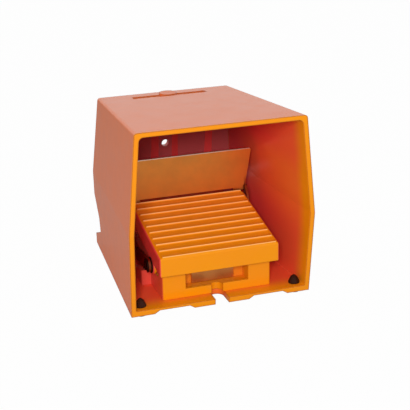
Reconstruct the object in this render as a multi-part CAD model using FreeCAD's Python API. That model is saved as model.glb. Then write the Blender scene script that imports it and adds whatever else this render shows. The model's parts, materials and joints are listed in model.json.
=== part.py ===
import FreeCAD, Part
import math
import os

# Industrial foot switch: a cast protective hood stands on rubber feet and holds a
# cast switch base. A ribbed pedal tilts on a hinge pin near the opening and drives
# a pusher and two contact blocks. Behind it a bent steel toe flap swings on the
# same pin. Millimetres. +Z is up, the opening faces -Y, and the origin is on the
# ground under the middle of the hood's footprint.
# Depths are measured rearwards from the hood's front rim, and heights from a level
# 1 mm below the hood's rails, which the rubber feet hold above the ground.

# hood casting
hood_width = 160.0             # across the crease half way up the sides
hood_height = 160.0            # top front edge
hood_depth = 184.0
hood_bottom_width = 159.0
hood_top_width = 144.8
hood_rear_narrowing = 11.4     # each side, from the front rim to the floor's rear edge
crease_height = 75.0
rim_setback = 8.7              # the front rim leans back below the crease
roof_rear_height = 147.5
roof_rear_setback = 15.5       # from the floor's rear edge
rear_wall_setback = 4.5
hood_wall = 4.2
roof_wall = 3.9
hood_floor = 5.0
roof_edge_radius = 2.6
inner_corner_radius = 4.0
floor_corner_radius = 0.8
rib_depth = 2.5                # vertical ribs inside the rear wall
rib_flank = 7.0
rib_centre_width = 13.0
rib_corner_start = 46.5

# notch in the hood's lower rear corners, open to the sides
notch_top_height = 53.0
notch_knee_setback = 26.0
notch_knee_height = 35.0
notch_root_setback = 29.5
notch_root_height = 22.5
floor_lip_height = 11.0

# hood floor
foot_standout = 2.5            # the rubber feet hold the rails this far off the ground
rail_bottom = 1.0
rail_height = 2.8
side_rail_width = 20.5
centre_rail_outer = 24.2
rail_slant = 4.3
rail_end_setback = 36.0
slot_width = 12.0
slot_end = 29.0
fixing_hole_radius = 3.25
fixing_hole_setback = 23.0
wall_hole_radius = 3.5
wall_hole_height = 97.6

# round seat and finger notch on the roof
seat_radius = 8.1
seat_setback = 13.0            # from the roof's rear edge
seat_rise = 1.2
finger_notch_width = 69.0
finger_notch_length = 9.5
finger_notch_setback = 15.0
finger_notch_cut = 1.0

# rubber feet
foot_radius = 5.0
foot_stem_radius = 4.0
foot_hole_clearance = 0.2
foot_barb_radius = 4.9
foot_barb_height = 7.0
foot_barb_tip_radius = 1.0
foot_side_margin = 10.7        # foot's axis to the hood's side, in front
rear_foot_side_margin = 11.1
front_foot_depth = 18.0
rear_foot_setback = 8.5

# switch base casting
base_width = 96.6
base_front = 21.3
base_rear_setback = 5.5
base_wall = 4.0
base_rear_wall = 8.0
deck_height = 36.0
deck_end = 108.0
housing_height = 52.0
base_corner_radius = 2.0
pocket_width = 56.0
pocket_floor_height = 12.0
pocket_lip_height = 13.7
pocket_depth = 36.0
base_lip = 3.0
base_slot_width = 10.4
cavity_front = 56.0
cavity_width = 76.4
cover_ledge = 7.0
core_width = 12.7
core_front = 25.5
core_rear = 47.0
lug_reach = 8.3
lug_length = 22.0
front_lug_depth = 69.0
rear_lug_setback = 48.0
lug_corner_radius = 1.5

# screws that hold the base down on the hood's floor
base_screw_radius = 3.0
base_screw_head_radius = 5.0
base_screw_head_height = 2.5
base_screw_length = 12.0

# bottom cover of the base
cover_lift = 0.2
cover_thickness = 2.0
gasket_thickness = 1.0
gasket_width = 6.4
cover_edge_gap = 0.3
cover_screw_radius = 1.5
cover_screw_head_radius = 2.8
cover_screw_head_height = 1.6
cover_screw_length = 8.0

# earth screw inside the base
earth_x = 30.0
earth_depth = 122.0
earth_boss_radius = 5.0
earth_boss_bottom = 42.0
earth_screw_radius = 2.0

# hinge pin, its keeper plate and clips
pin_depth = 40.0
pin_height = 32.0
pin_radius = 4.0
pin_end_length = 0.5           # beyond the clip groove
running_clearance = 0.05
barrel_radius = 8.0
keeper_width = 38.0
keeper_bottom = 12.3
keeper_top = 31.0
keeper_thickness = 2.0
keeper_screw_x = 12.0
keeper_screw_height = 25.2
keeper_screw_radius = 1.5
keeper_screw_head_radius = 2.8
keeper_screw_head_height = 2.0
keeper_screw_length = 7.0
clip_thickness = 1.0
clip_outer_radius = 6.2
clip_groove_depth = 0.5
clip_gap = 0.3

# pedal
pedal_width = 105.2
pedal_front = 11.5
pedal_length = 88.3
pedal_front_height = 49.2
pedal_rear_height = 67.0
pedal_skirt = 17.7
pedal_wall = 3.0
pedal_front_wall = 3.5
pedal_top_wall = 3.2
pedal_corner_radius = 1.6
pedal_edge_radius = 2.4
ridge_count = 10
ridge_pitch = 9.7
ridge_rise = 1.3
ridge_drop = 0.5
ridge_width = 100.6
ridge_end_draft = 1.2
nosing_radius = 0.5
ear_radius = 8.0
bush_wall = 0.95
pedal_travel = 8.0             # degrees, used for the height of the stop buffers

# toe flap with its side arms
flap_thickness = 2.0
flap_front = 100.2
flap_bottom = 69.0
flap_top = 105.6
flap_top_width = 121.4
flap_shoulder_width = 111.2
flap_shoulder_height = 77.2
flap_bottom_width = 104.6
flap_corner_radius = 2.0
arm_inner_x = 53.9
arm_end_radius = 6.2
arm_low_depth = 64.0           # the arm's lower edge is lowest from here rearwards
arm_low_height = 23.6
arm_low_length = 14.0
arm_shoulder_height = 71.0     # where the arm comes out under the flap
arm_corner_radius = 3.0
arm_bend_radius = 1.8
arm_flange_width = 12.0        # welded to the flap's back
arm_flange_bottom = 66.0
arm_flange_top = 80.0
flap_travel = 10.0             # degrees
stop_clearance = 0.4

# pusher, its guide and spring
pusher_depth = 75.0
pusher_radius = 4.0
pusher_neck_radius = 3.0
pusher_head_radius = 9.3
pusher_head_top = 51.0
pusher_head_thickness = 2.4
guide_boss_radius = 6.5
guide_boss_top = 41.8
guide_bush_radius = 5.2
seal_thickness = 1.2
seal_outer_radius = 6.0
spring_wire_radius = 0.8
spring_radius = 8.4
spring_turns = 4.0
seat_gap = 0.3                 # between pieces that only touch under load

# striker screw in the pedal
striker_radius = 3.0
striker_boss_radius = 7.5
striker_boss_bottom = 55.2
striker_nut_flats = 10.0
striker_nut_height = 3.2

# contact blocks
block_x = 13.5
block_width = 14.0
block_length = 44.0
block_front = 58.0
block_height = 11.5
carrier_thickness = 1.5
carrier_width = 70.0
carrier_rear_margin = 3.0
crossbar_height = 3.0
crossbar_width = 6.0
crossbar_bottom = 26.8
plunger_radius = 2.0
plunger_length = 9.0
plunger_travel = 5.3
terminal_step = 10.0           # length of the lower terminal end
terminal_drop = 2.5
terminal_radius = 2.6
terminal_head = 1.4
terminal_setback = 5.0

# rubber stop buffers on the deck
buffer_x = 36.0
rest_buffer_depth = 27.0
rest_buffer_radius = 4.0
end_buffer_depth = 88.0
end_buffer_radius = 5.0
end_buffer_gap = 0.95           # to the pedal when it is pressed right down

# trigger torsion springs
coil_radius = 5.1
coil_turns = 3.5
coil_inner_x = 41.0
coil_pitch = 2.0
spring_recess_radius = 10.5
spring_recess_inner_x = 39.8
spring_leg_length = 14.0
hook_depth = 47.6
hook_start_gap = 1.4
spring_hook_overhang = 1.2     # beyond the arm's outer face

# cable entries in the rear face
entry_x = 24.0
entry_height = 28.0
entry_radius = 9.3
plug_head_radius = 12.0
plug_head_thickness = 3.2
plug_washer_thickness = 1.0

# values that follow from the ones above
floor_top = rail_bottom + hood_floor
roof_length = hood_depth - roof_rear_setback
rear_wall_depth = hood_depth - rear_wall_setback
notch_knee_depth = hood_depth - notch_knee_setback
notch_root_depth = hood_depth - notch_root_setback
rail_length = hood_depth - rail_end_setback
seat_depth = roof_length - seat_setback
finger_notch_rear = roof_length - finger_notch_setback
finger_notch_front = finger_notch_rear - finger_notch_length
front_foot_x = hood_bottom_width / 2 - foot_side_margin
rear_foot_x = hood_bottom_width / 2 - hood_rear_narrowing - rear_foot_side_margin
rear_foot_depth = hood_depth - rear_foot_setback
fixing_hole_spacing = 2 * rear_foot_x
fixing_hole_depth = hood_depth - fixing_hole_setback
base_rear = hood_depth - base_rear_setback
cavity_rear = base_rear - base_rear_wall
rear_lug_depth = hood_depth - rear_lug_setback
base_bottom = floor_top
taper = hood_rear_narrowing / hood_depth
roof_slope = (hood_height - roof_rear_height) / roof_length
pedal_slope = (pedal_rear_height - pedal_front_height) / pedal_length
pedal_angle = math.degrees(math.atan(pedal_slope))
pedal_rear = pedal_front + pedal_length
cover_bottom = base_bottom + cover_lift
gasket_bottom = cover_bottom + cover_thickness
ledge_height = gasket_bottom + gasket_thickness
carrier_bottom = gasket_bottom
block_bottom = carrier_bottom + carrier_thickness
block_top = block_bottom + block_height
arm_outer_x = arm_inner_x + flap_thickness
pusher_head_bottom = pusher_head_top - pusher_head_thickness
flap_rear = flap_front + flap_thickness
terminal_top = block_top - terminal_drop


def vec(x, y, z):
    return FreeCAD.Vector(x, y, z)


def polygon(points):
    return Part.makePolygon(points + [points[0]])


def side_prism(outline, x_low, x_high):
    """Extrude an outline of (depth, height) points across the width."""
    face = Part.Face(polygon([vec(x_low, y, z) for y, z in outline]))
    return face.extrude(vec(x_high - x_low, 0, 0))


def plan_prism(outline, z_low, z_high):
    """Extrude an outline of (x, depth) points upwards."""
    face = Part.Face(polygon([vec(x, y, z_low) for x, y in outline]))
    return face.extrude(vec(0, 0, z_high - z_low))


def front_prism(outline, y_low, y_high):
    """Extrude an outline of (x, height) points rearwards."""
    face = Part.Face(polygon([vec(x, y_low, z) for x, z in outline]))
    return face.extrude(vec(0, y_high - y_low, 0))


def flat_sided(near, far):
    """A solid between two matching outlines whose side faces are all flat."""
    faces = [Part.Face(polygon(near)), Part.Face(polygon(far))]
    for i in range(len(near)):
        j = (i + 1) % len(near)
        faces.append(Part.Face(polygon([near[i], near[j], far[j], far[i]])))
    return Part.Solid(Part.Shell(faces))


def block(x_low, x_high, y_low, y_high, z_low, z_high):
    return Part.makeBox(x_high - x_low, y_high - y_low, z_high - z_low, vec(x_low, y_low, z_low))


def post(radius, x, y, z_low, z_high):
    """An upright cylinder."""
    return Part.makeCylinder(radius, z_high - z_low, vec(x, y, z_low), vec(0, 0, 1))


def shaft(radius, x_low, x_high, y, z):
    """A cylinder lying across the width."""
    return Part.makeCylinder(radius, x_high - x_low, vec(x_low, y, z), vec(1, 0, 0))


def drill(radius, x, z, y_low, y_high):
    """A cylinder lying front to rear."""
    return Part.makeCylinder(radius, y_high - y_low, vec(x, y_low, z), vec(0, 1, 0))


def tube(outer_radius, inner_radius, x, y, z_low, z_high):
    return post(outer_radius, x, y, z_low, z_high).cut(post(inner_radius, x, y, z_low, z_high))


def hexagon(flats, x, y, z_low, z_high):
    radius = flats / math.sqrt(3.0)
    turns = [math.radians(60 * i) for i in range(6)]
    return plan_prism([(x + radius * math.cos(t), y + radius * math.sin(t)) for t in turns], z_low, z_high)


def mirrored(shape):
    return shape.mirror(vec(0, 0, 0), vec(1, 0, 0))


def on_both_sides(shape):
    return [shape, mirrored(shape)]


def round_edges(shape, radius, wanted):
    """Fillet the edges for which wanted(edge) is true."""
    edges = [edge for edge in shape.Edges if wanted(edge)]
    return shape.makeFillet(radius, edges)


def runs_along(edge, axis):
    """True for a straight edge that lies within about 8 degrees of an axis."""
    ends = [vertex.Point for vertex in edge.Vertexes]
    if len(ends) != 2 or edge.Curve.TypeId != "Part::GeomLine":
        return False
    direction = (ends[1] - ends[0]).normalize()
    return abs(direction.dot(axis)) > 0.99


def hood_half_width(depth, height):
    """The hood's side walls lean outwards to the crease and in again above it."""
    if height < crease_height:
        share = (height - rail_bottom) / (crease_height - rail_bottom)
        width = hood_bottom_width + (hood_width - hood_bottom_width) * share
    else:
        share = (height - crease_height) / (hood_height - crease_height)
        width = hood_width + (hood_top_width - hood_width) * share
    return width / 2 - taper * depth


def rear_face_depth(height):
    """Outer face of the rear wall above the crease."""
    share = (height - crease_height) / (roof_rear_height - crease_height)
    return rear_wall_depth + (roof_length - rear_wall_depth) * share


def hood_tunnel(inset, bottom):
    """The hood's six-sided form between its side walls, longer than the hood."""
    sections = []
    for depth in (-hood_depth / 4, hood_depth * 1.25):
        levels = (bottom, crease_height, hood_height + roof_wall)
        right = [(hood_half_width(depth, level) - inset, level) for level in levels]
        left = [(-x, level) for x, level in reversed(right)]
        sections.append([vec(x, depth, level) for x, level in right + left])
    return flat_sided(sections[0], sections[1])


def hood_outer():
    outline = [
        (rim_setback, rail_bottom),
        (0, crease_height),
        (0, hood_height),
        (roof_length, roof_rear_height),
        (rear_wall_depth, crease_height),
        (rear_wall_depth, notch_top_height),
        (notch_knee_depth, notch_knee_height),
        (notch_root_depth, notch_root_height),
        (hood_depth, floor_lip_height),
        (hood_depth, rail_bottom),
    ]
    solid = hood_tunnel(0, rail_bottom).common(side_prism(outline, -hood_width, hood_width))
    along = vec(0, 1, -roof_slope).normalize()

    def is_roof_edge(edge):
        return runs_along(edge, along) and edge.CenterOfMass.z > crease_height + rail_height

    return round_edges(solid, roof_edge_radius, is_roof_edge)


def hood_cavity():
    """The foot space, open at the front, down to the hood's floor."""
    wall = hood_wall
    mouth = -hood_depth / 8
    roof = hood_height - roof_wall
    roof_rear = rear_face_depth(roof_rear_height) - wall
    outline = [
        (mouth, floor_top),
        (mouth, roof - roof_slope * mouth),
        (roof_rear, roof - roof_slope * roof_rear),
        (rear_wall_depth - wall, crease_height),
        (rear_wall_depth - wall, notch_top_height + wall / 2),
        (notch_knee_depth - wall, notch_knee_height + wall / 2),
        (notch_root_depth - wall, notch_root_height + wall / 4),
        (notch_root_depth - wall, floor_top),
    ]
    space = hood_tunnel(wall, floor_top).common(side_prism(outline, -hood_width, hood_width))
    along = vec(0, 1, -roof_slope).normalize()
    level = vec(taper, 1, 0).normalize()
    other = vec(-taper, 1, 0).normalize()

    def is_roof_corner(edge):
        return runs_along(edge, along) and edge.CenterOfMass.z > crease_height + rail_height

    def is_floor_corner(edge):
        if edge.CenterOfMass.z > floor_top + rail_height:
            return False
        return runs_along(edge, level) or runs_along(edge, other)

    space = round_edges(space, inner_corner_radius, is_roof_corner)
    return round_edges(space, floor_corner_radius, is_floor_corner)


def rear_wall_ribs(outer):
    """Three upright ribs inside the rear wall: one central, one in each corner."""
    low = crease_height
    high = hood_height
    half = rib_centre_width / 2
    far = hood_width
    centre = [(-half - rib_flank, 0), (-half, rib_depth), (half, rib_depth), (half + rib_flank, 0)]
    corner = [(rib_corner_start - rib_flank, 0), (rib_corner_start, rib_depth), (far, rib_depth), (far, 0)]
    ribs = []
    for outline in (centre, corner):
        sections = []
        for height in (low, high):
            face_depth = rear_face_depth(height) - hood_wall / 2
            root = [(x, face_depth) for x, proud in (outline[0], outline[-1])]
            crest = [(x, face_depth - hood_wall / 2 - proud) for x, proud in outline]
            points = [root[0]] + crest + [root[1]]
            sections.append([vec(x, y, height) for x, y in points])
        ribs.append(flat_sided(sections[0], sections[1]).common(outer))
    return [ribs[0], ribs[1], mirrored(ribs[1])]


def floor_slot():
    radius = slot_width / 2
    centre = slot_end - radius
    straight = block(-radius, radius, -slot_end, centre, -1, floor_top + 1)
    return straight.fuse(post(radius, 0, centre, -1, floor_top + 1))


def rail_recess():
    """The floor is thin between the side rail and the centre rail."""
    outer = hood_bottom_width / 2 - side_rail_width
    top = rail_bottom + rail_height
    drop = 1.0
    spread = rail_slant * drop / rail_height
    outline = [
        (outer + spread, rail_bottom - drop),
        (outer - rail_slant, top),
        (centre_rail_outer + rail_slant, top),
        (centre_rail_outer - spread, rail_bottom - drop),
    ]
    return front_prism(outline, -1, rail_length)


def roof_height(depth):
    return hood_height - roof_slope * depth


def roof_seat():
    """A round flat seat that stands level on the sloping roof."""
    return post(seat_radius, 0, seat_depth, roof_height(seat_depth) - roof_wall / 2,
                roof_height(seat_depth) + seat_rise)


def finger_notch():
    """A shallow wedge cut across the roof, deepest at its rear wall."""
    outline = [
        (finger_notch_front, roof_height(finger_notch_front)),
        (finger_notch_rear, roof_height(finger_notch_rear) - finger_notch_cut),
        (finger_notch_rear, roof_height(finger_notch_rear) + 1),
        (finger_notch_front, roof_height(finger_notch_front) + 1),
    ]
    half = finger_notch_width / 2
    return side_prism(outline, -half, half)


def foot_places():
    return [
        (-front_foot_x, front_foot_depth),
        (front_foot_x, front_foot_depth),
        (-rear_foot_x, rear_foot_depth),
        (rear_foot_x, rear_foot_depth),
    ]


def base_screw_places():
    x = base_width / 2 + lug_reach / 2
    return [(side * x, depth) for side in (-1, 1) for depth in (front_lug_depth, rear_lug_depth)]


def make_hood():
    outer = hood_outer()
    hood = outer.cut(hood_cavity())
    behind = side_prism([
        (notch_root_depth, floor_top),
        (notch_root_depth, notch_root_height),
        (hood_depth * 1.1, notch_root_height),
        (hood_depth * 1.1, floor_top),
    ], -hood_width, hood_width)
    hood = hood.cut(hood_tunnel(hood_wall, floor_top).common(behind))
    hood = hood.fuse(rear_wall_ribs(outer))
    opening = base_width / 2 + base_wall
    hood = hood.cut(block(-opening, opening, notch_root_depth - 3 * hood_wall, hood_depth * 1.1,
                          floor_top, housing_height + base_wall))
    hood = hood.cut(on_both_sides(rail_recess()))
    hood = hood.cut(floor_slot())
    hood = hood.fuse(roof_seat().cut(hood_cavity()))
    hood = hood.cut(finger_notch().cut(roof_seat()))
    hood = hood.cut(drill(wall_hole_radius, 0, wall_hole_height, roof_length / 2, hood_depth))
    for x, depth in foot_places():
        hood = hood.cut(post(foot_stem_radius + foot_hole_clearance, x, depth, -1, floor_top + 1))
    for x, depth in base_screw_places():
        hood = hood.cut(post(base_screw_radius + foot_hole_clearance, x, depth, -1, floor_top + 1))
        hood = hood.cut(post(base_screw_head_radius + foot_hole_clearance, x, depth, -1,
                             rail_bottom + rail_height))
    for side in (-1, 1):
        x = side * fixing_hole_spacing / 2
        hood = hood.cut(post(fixing_hole_radius, x, fixing_hole_depth, -1, floor_top + 1))
    return hood.removeSplitter()


def make_rubber_foot(x, depth):
    """A push-in foot: a pad below the rail, a stem and a barb above the floor."""
    gap = foot_hole_clearance
    sole = rail_bottom - foot_standout
    top = floor_top + foot_barb_height
    outline = [
        vec(0, 0, sole),
        vec(foot_radius, 0, sole),
        vec(foot_radius, 0, rail_bottom),
        vec(foot_stem_radius, 0, rail_bottom),
        vec(foot_stem_radius, 0, floor_top + gap),
        vec(foot_barb_radius, 0, floor_top + gap),
        vec(foot_barb_radius, 0, floor_top + foot_barb_height / 7),
        vec((foot_barb_radius + foot_barb_tip_radius) / 2, 0, top - foot_barb_height / 4),
        vec(foot_barb_tip_radius, 0, top),
        vec(0, 0, top),
    ]
    foot = Part.Face(polygon(outline)).revolve(vec(0, 0, 0), vec(0, 0, 1), 360)
    foot.translate(vec(x, depth, 0))
    return foot


def make_base_screws():
    head_top = rail_bottom + rail_height
    screws = []
    for x, depth in base_screw_places():
        head = post(base_screw_head_radius, x, depth, head_top - base_screw_head_height, head_top)
        socket = hexagon(base_screw_radius, x, depth, 0, head_top - base_screw_head_height / 2)
        shank = post(base_screw_radius - running_clearance, x, depth, head_top,
                     head_top + base_screw_length)
        screws.append(head.cut(socket).fuse(shank).removeSplitter())
    return screws


def turned_about_pin(depth, height, degrees):
    """Where a point beside the hinge pin comes to when its piece is pressed down."""
    turn = math.radians(degrees)
    back = depth - pin_depth
    lift = height - pin_height
    return (pin_depth + back * math.cos(turn) + lift * math.sin(turn),
            pin_height - back * math.sin(turn) + lift * math.cos(turn))


def lug_top(depth):
    """Height just below the flap arm's lower edge when the flap is pushed right back."""
    near = turned_about_pin(arm_low_depth, arm_low_height, flap_travel)
    far = turned_about_pin(arm_low_depth + arm_low_length, arm_low_height, flap_travel)
    slope = (far[1] - near[1]) / (far[0] - near[0])
    return near[1] + slope * (depth - near[0]) - stop_clearance


def base_lug(depth):
    """A side lug for one base screw. The front one's sloping top is the flap's end stop."""
    half = lug_length / 2
    outline = [
        (depth - half, base_bottom),
        (depth - half, lug_top(front_lug_depth - half)),
        (depth + half, lug_top(front_lug_depth + half)),
        (depth + half, base_bottom),
    ]
    inner = base_width / 2 - base_wall / 2
    lug = side_prism(outline, inner, base_width / 2 + lug_reach)

    def is_outer_upright(edge):
        return runs_along(edge, vec(0, 0, 1)) and edge.CenterOfMass.x > base_width / 2

    lug = round_edges(lug, lug_corner_radius, is_outer_upright)
    screw_x = base_width / 2 + lug_reach / 2
    screw_top = rail_bottom + rail_height + base_screw_length
    return lug.cut(post(base_screw_radius, screw_x, depth, base_bottom, screw_top + stop_clearance))


def cover_half_width():
    return cavity_width / 2 + cover_ledge


def cover_front():
    return cavity_front - cover_ledge


def cover_rear():
    return cavity_rear + cover_ledge


def cover_screw_places():
    x = cavity_width / 2 + cover_ledge / 2
    front = cavity_front + cover_ledge
    rear = cavity_rear - cover_ledge
    middle = (front + rear) / 2
    return [(side * x, depth) for side in (-1, 1) for depth in (front, middle, rear)]


def make_base():
    half = base_width / 2
    body = side_prism([
        (base_front, base_bottom),
        (base_front, deck_height),
        (deck_end, deck_height),
        (deck_end, housing_height),
        (base_rear, housing_height),
        (base_rear, base_bottom),
    ], -half, half)

    def is_upright_corner(edge):
        return runs_along(edge, vec(0, 0, 1)) and abs(edge.CenterOfMass.x) > half - 1

    body = round_edges(body, base_corner_radius, is_upright_corner)
    body = body.fuse(shaft(barrel_radius, -half, half, pin_depth, pin_height))
    body = body.fuse(post(guide_boss_radius, 0, pusher_depth, deck_height - base_wall, guide_boss_top))
    for depth in (front_lug_depth, rear_lug_depth):
        body = body.fuse(on_both_sides(base_lug(depth)))
    body = body.cut(base_cavities())
    body = body.cut(base_pocket())
    earth = post(earth_boss_radius, earth_x, earth_depth, earth_boss_bottom, housing_height - base_wall)
    body = body.fuse(earth)
    body = body.cut(base_bores())
    return body.removeSplitter()


def base_cavities():
    """The switch chamber under the deck and housing, its cover ledge and two cores."""
    half = cavity_width / 2
    deck_room = block(-half, half, cavity_front, deck_end + base_wall, base_bottom, deck_height - base_wall)
    wiring_room = block(-half, half, deck_end + base_wall, cavity_rear, base_bottom,
                        housing_height - base_wall)
    ledge = block(-cover_half_width(), cover_half_width(), cover_front(), cover_rear(),
                  base_bottom, ledge_height)
    core = block(pocket_width / 2 + base_wall, pocket_width / 2 + base_wall + core_width,
                 core_front, core_rear, base_bottom, pin_height - spring_recess_radius - base_wall)
    return [deck_room, wiring_room, ledge] + on_both_sides(core)


def base_pocket():
    """The open pocket in the base's front, with the fixing slot through its floor."""
    half = pocket_width / 2
    roof = deck_height - base_wall / 2
    behind_lip = block(-half, half, base_front + base_lip, pocket_depth, pocket_floor_height, roof)
    window = block(-half, half, base_front - 1, base_front + base_lip, pocket_lip_height, roof)
    radius = base_slot_width / 2
    centre = slot_end - radius
    slot = block(-radius, radius, base_front - 1, centre, base_bottom, pocket_lip_height)
    slot_round = post(radius, 0, centre, base_bottom, pocket_lip_height)
    return [behind_lip, window, slot, slot_round]


def base_bores():
    half = base_width / 2
    bores = [shaft(pin_radius + running_clearance, -half - 1, half + 1, pin_depth, pin_height)]
    recess = shaft(spring_recess_radius, spring_recess_inner_x, half + 1, pin_depth, pin_height)
    bores += on_both_sides(recess)
    bores.append(post(guide_bush_radius + running_clearance, 0, pusher_depth,
                      deck_height - base_wall - 1, guide_boss_top + 1))
    for x in (-entry_x, entry_x):
        bores.append(drill(entry_radius, x, entry_height, cavity_rear - 1, base_rear + 1))
    for x, depth in cover_screw_places():
        bores.append(post(cover_screw_radius, x, depth, ledge_height - 1,
                          ledge_height + cover_screw_length))
    for x in (-keeper_screw_x, keeper_screw_x):
        bores.append(drill(keeper_screw_radius, x, keeper_screw_height, pocket_depth - 1,
                           pocket_depth + keeper_screw_length))
    bores.append(post(earth_screw_radius, earth_x, earth_depth, earth_boss_bottom - 1,
                      earth_boss_bottom + 5))
    return bores


def make_pin_keeper():
    """The plated strip that closes the hinge pin's open saddle."""
    half = keeper_width / 2
    front = pocket_depth - keeper_thickness
    plate = block(-half, half, front, pocket_depth, keeper_bottom, keeper_top)
    for x in (-keeper_screw_x, keeper_screw_x):
        hole = drill(keeper_screw_radius + running_clearance, x, keeper_screw_height,
                     front - 1, pocket_depth + 1)
        plate = plate.cut(hole)
    return plate


def make_keeper_screws():
    front = pocket_depth - keeper_thickness
    screws = []
    for x in (-keeper_screw_x, keeper_screw_x):
        head = drill(keeper_screw_head_radius, x, keeper_screw_height,
                     front - keeper_screw_head_height, front)
        shank = drill(keeper_screw_radius - running_clearance, x, keeper_screw_height,
                      front, pocket_depth + keeper_screw_length - 1)
        screws.append(head.fuse(shank).removeSplitter())
    return screws


def make_cover():
    half = cover_half_width() - cover_edge_gap
    plate = block(-half, half, cover_front() + cover_edge_gap, cover_rear() - cover_edge_gap,
                  cover_bottom, gasket_bottom)
    for x, depth in cover_screw_places():
        plate = plate.cut(post(cover_screw_radius + running_clearance, x, depth, 0, ledge_height))
        plate = plate.cut(post(cover_screw_head_radius + running_clearance, x, depth, 0,
                               cover_bottom + cover_screw_head_height))
    return plate


def make_gasket():
    half = cover_half_width() - cover_edge_gap
    front = cover_front() + cover_edge_gap
    rear = cover_rear() - cover_edge_gap
    width = gasket_width
    frame = block(-half, half, front, rear, gasket_bottom, ledge_height)
    window = block(-half + width, half - width, front + width, rear - width, gasket_bottom, ledge_height)
    frame = frame.cut(window)
    for x, depth in cover_screw_places():
        frame = frame.cut(post(cover_screw_radius + running_clearance, x, depth, 0, ledge_height))
    return frame


def make_cover_screws():
    screws = []
    for x, depth in cover_screw_places():
        head = post(cover_screw_head_radius, x, depth, cover_bottom, cover_bottom + cover_screw_head_height)
        shank = post(cover_screw_radius - running_clearance, x, depth,
                     cover_bottom + cover_screw_head_height, ledge_height + cover_screw_length - 1)
        screws.append(head.fuse(shank).removeSplitter())
    return screws


def clip_groove_x():
    return arm_outer_x + clip_gap


def make_hinge_pin():
    end = clip_groove_x() + clip_thickness + pin_end_length
    pin = shaft(pin_radius, -end, end, pin_depth, pin_height)
    pin = pin.makeChamfer(0.4, [edge for edge in pin.Edges if abs(edge.CenterOfMass.x) > end - 1])
    start = clip_groove_x() - running_clearance
    width = clip_thickness + 2 * running_clearance
    ring = shaft(pin_radius + 1, start, start + width, pin_depth, pin_height)
    ring = ring.cut(shaft(pin_radius - clip_groove_depth, start, start + width, pin_depth, pin_height))
    return pin.cut(on_both_sides(ring))


def make_pin_clips():
    start = clip_groove_x()
    ring = shaft(clip_outer_radius, start, start + clip_thickness, pin_depth, pin_height)
    bore = shaft(pin_radius - clip_groove_depth + running_clearance, start, start + clip_thickness,
                 pin_depth, pin_height)
    mouth_half = pin_radius - 2 * clip_groove_depth
    mouth = block(start, start + clip_thickness, pin_depth - mouth_half, pin_depth + mouth_half,
                  pin_height - clip_outer_radius - 1, pin_height)
    return on_both_sides(ring.cut(bore).cut(mouth))


def make_spacers():
    """Washers on the pin between the pedal's ears and the flap's arms."""
    start = pedal_width / 2 + seat_gap
    end = arm_inner_x - seat_gap
    ring = shaft(ear_radius - 1, start, end, pin_depth, pin_height)
    return on_both_sides(ring.cut(shaft(pin_radius + running_clearance, start, end, pin_depth, pin_height)))


def pedal_nominal(depth):
    """Height of the line through the ridge noses."""
    return pedal_front_height + pedal_slope * (depth - pedal_front)


def pedal_block():
    half = pedal_width / 2
    lip_bottom = pedal_front_height - pedal_skirt
    solid = side_prism([
        (pedal_front, lip_bottom),
        (pedal_front, pedal_front_height - ridge_rise),
        (pedal_rear, pedal_rear_height - ridge_rise),
        (pedal_rear, pedal_rear_height - pedal_skirt),
    ], -half, half)
    slope = vec(0, 1, pedal_slope).normalize()

    def is_upright(edge):
        return runs_along(edge, vec(0, 0, 1))

    def is_long_top(edge):
        return runs_along(edge, slope) and edge.CenterOfMass.z > (pedal_front_height + lip_bottom) / 2 + 5

    solid = round_edges(solid, pedal_edge_radius, is_long_top)
    return round_edges(solid, pedal_corner_radius, is_upright)


def pedal_ridges():
    """A stair of ridges across the pedal, whose ends slope outwards."""
    outline = [(pedal_front + 0.4, pedal_front_height - ridge_rise - 1)]
    for i in range(ridge_count):
        nose = pedal_front + 0.4 + i * ridge_pitch
        next_nose = min(nose + ridge_pitch, pedal_rear)
        outline.append((nose, pedal_nominal(nose)))
        if i < ridge_count - 1:
            outline.append((next_nose - 0.3, pedal_nominal(nose) - ridge_drop))
    outline.append((pedal_rear, pedal_nominal(nose)))
    outline.append((pedal_rear, pedal_rear_height - ridge_rise - 1))
    half = ridge_width / 2
    stair = side_prism(outline, -half, half)
    low = -ridge_rise - 2
    form = front_prism([
        (-half - ridge_end_draft, low),
        (half + ridge_end_draft, low),
        (half - ridge_end_draft, 1),
        (-half + ridge_end_draft, 1),
    ], -5, pedal_length + 10)
    form.translate(vec(0, pedal_front, pedal_front_height))
    form.rotate(vec(0, pedal_front, pedal_front_height), vec(1, 0, 0), pedal_angle)
    stair = stair.common(form)
    noses = [pedal_front + 0.4 + i * ridge_pitch for i in range(ridge_count)]

    def is_nose(edge):
        if not runs_along(edge, vec(1, 0, 0)):
            return False
        middle = edge.CenterOfMass
        near = min(abs(middle.y - nose) for nose in noses)
        return near < 0.1 and abs(middle.z - pedal_nominal(middle.y)) < 0.1

    return round_edges(stair, nosing_radius, is_nose)


def pedal_hollow():
    half = pedal_width / 2 - pedal_wall
    top = ridge_rise + pedal_top_wall
    front = pedal_front + pedal_front_wall
    rear = pedal_rear - pedal_wall
    return side_prism([
        (front, pedal_nominal(front) - pedal_skirt - 10),
        (front, pedal_nominal(front) - top),
        (rear, pedal_nominal(rear) - top),
        (rear, pedal_nominal(rear) - pedal_skirt - 10),
    ], -half, half)


def pedal_ear():
    """A rounded ear under the skirt, bored for the hinge pin."""
    inner = pedal_width / 2 - pedal_wall
    outer = pedal_width / 2
    ear = shaft(ear_radius, inner, outer, pin_depth, pin_height)
    web_top = pedal_nominal(pin_depth) - pedal_skirt + 5
    web = block(inner, outer, pin_depth - ear_radius, pin_depth + ear_radius, pin_height, web_top)
    return ear.fuse(web)


def bush_radius():
    return pin_radius + running_clearance + bush_wall


def striker_thread_top():
    return pedal_nominal(pusher_depth) - ridge_rise - 2


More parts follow.
